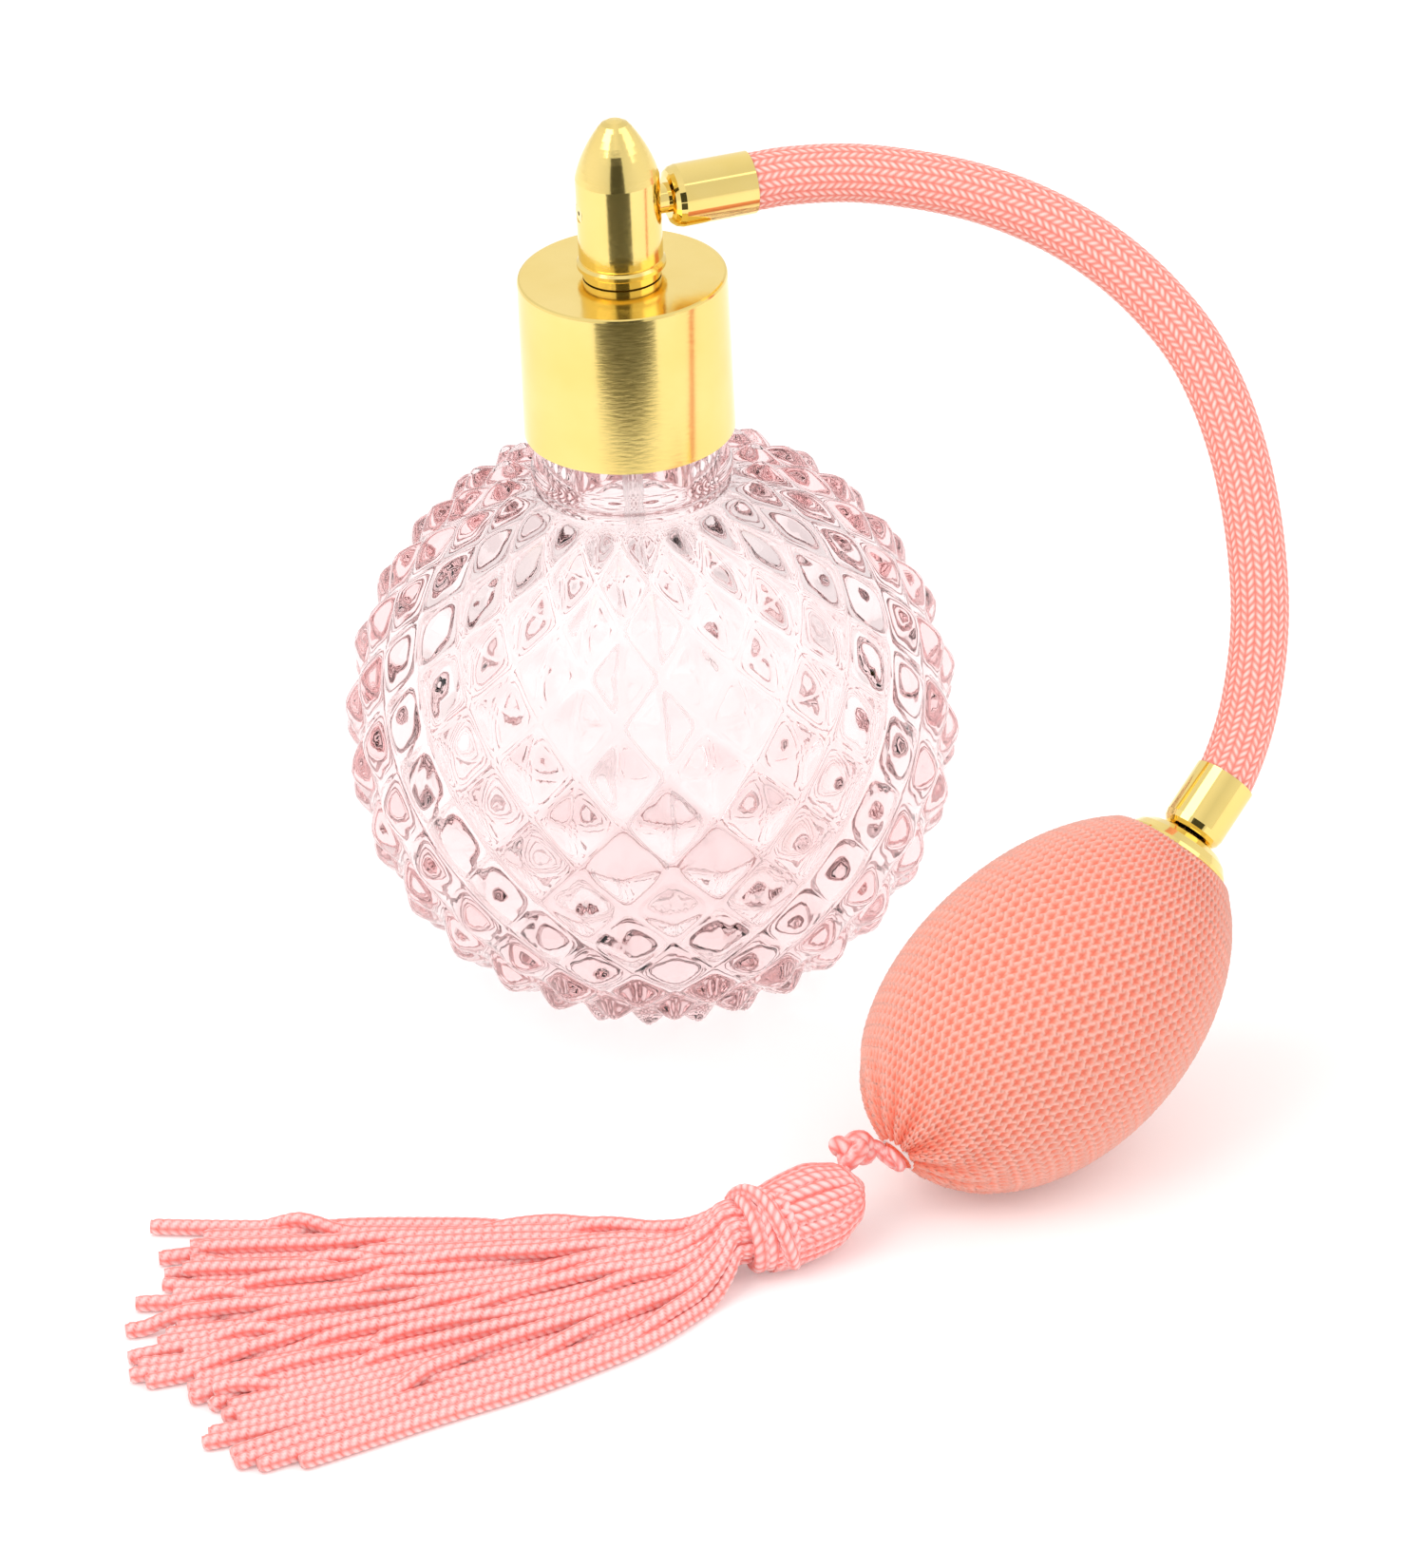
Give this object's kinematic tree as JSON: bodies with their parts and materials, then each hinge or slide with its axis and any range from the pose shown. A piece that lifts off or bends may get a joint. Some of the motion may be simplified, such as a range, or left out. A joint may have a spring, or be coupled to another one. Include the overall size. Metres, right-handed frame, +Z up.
{
  "type": "perfume atomiser bottle",
  "caption": "Hobnail glass perfume bottle with a screw collar, swivelling spray head, braided air hose, knitted squeeze bulb and a tassel.",
  "frame": {"origin": "centre of the bottle's flat base, on the surface that it stands on", "axes": "+Z up the bottle's axis; +X towards the hose side; -Y towards the side where the bulb and tassel lie"},
  "size_m": [0.1493, 0.1627, 0.1179],
  "materials": {
    "clear_glass": "fire-polished pressed glass",
    "gold_metal": "bright gold plating",
    "white_plastic": "moulded",
    "clear_plastic": "translucent extruded tube",
    "seal_rubber": "moulded",
    "bulb_rubber": "soft latex",
    "hose_fabric": "braided gloss yarn",
    "knit_fabric": "knitted yarn",
    "tassel_cord": "knitted cord"
  },
  "bodies": {
    "bottle": {"glass_bottle": "clear_glass"},
    "stem": {"stem_body": "white_plastic", "neck_gasket": "seal_rubber", "stem_seal": "seal_rubber", "swivel_washer": "gold_metal", "dip_tube": "clear_plastic"},
    "collar": {"collar_shell": "gold_metal", "collar_liner": "white_plastic"},
    "head": {"head_shell": "gold_metal", "head_core": "white_plastic", "nozzle_insert": "gold_metal", "air_nipple": "gold_metal", "head_ferrule": "gold_metal", "hose_lining": "bulb_rubber", "hose_braid": "hose_fabric", "bulb_ferrule": "gold_metal", "bulb_connector": "gold_metal", "bulb_cap": "gold_metal", "air_bulb": "bulb_rubber", "bulb_cover": "knit_fabric", "inlet_valve_seat": "white_plastic", "cover_tie": "tassel_cord"},
    "outlet_valve": {"outlet_valve_disc": "seal_rubber"},
    "inlet_valve": {"inlet_valve_disc": "seal_rubber"},
    "loop": {"tassel_loop": "tassel_cord"},
    "tassel": {"tassel_head": "tassel_cord", "tassel_wrap": "tassel_cord", "tassel_skirt": "tassel_cord"}
  },
  "joints": [
    {"name": "stem_lift", "type": "slide", "parent": "bottle", "child": "stem", "axis": [0, 0, 1], "range_m": [0, 0.0045]},
    {"name": "collar_turn", "type": "hinge", "parent": "stem", "child": "collar", "pos_m": [-0.0009, 0, 0.08], "axis": [0, 0, 1], "range_deg": [0, 540]},
    {"name": "head_swivel", "type": "hinge", "parent": "stem", "child": "head", "pos_m": [-0.0009, 0, 0.1], "axis": [0, 0, 1], "continuous": true},
    {"name": "bulb_squeeze", "type": "slide", "parent": "head", "child": "outlet_valve", "axis": [0.5841, 0.5447, 0.6018], "range_m": [0, 0.0012], "deforming": ["air_bulb", "bulb_cover"]},
    {"name": "inlet_valve_lift", "type": "slide", "parent": "head", "child": "inlet_valve", "axis": [0.713, 0.5276, 0.4618], "range_m": [0, 0.0012]},
    {"name": "tassel_swing", "type": "hinge", "parent": "head", "child": "loop", "pos_m": [0.0223, -0.071, 0.0103], "axis": [0, 0, 1], "range_deg": [-30, 52]},
    {"name": "tassel_lift", "type": "hinge", "parent": "loop", "child": "tassel", "pos_m": [0.0223, -0.071, 0.0103], "axis": [-0.1736, 0.9848, 0], "range_deg": [0, 60]}
  ],
  "couplings": [
    {"joint": "collar_turn", "follows": "stem_lift", "rad_per_m": 2094.4}
  ]
}
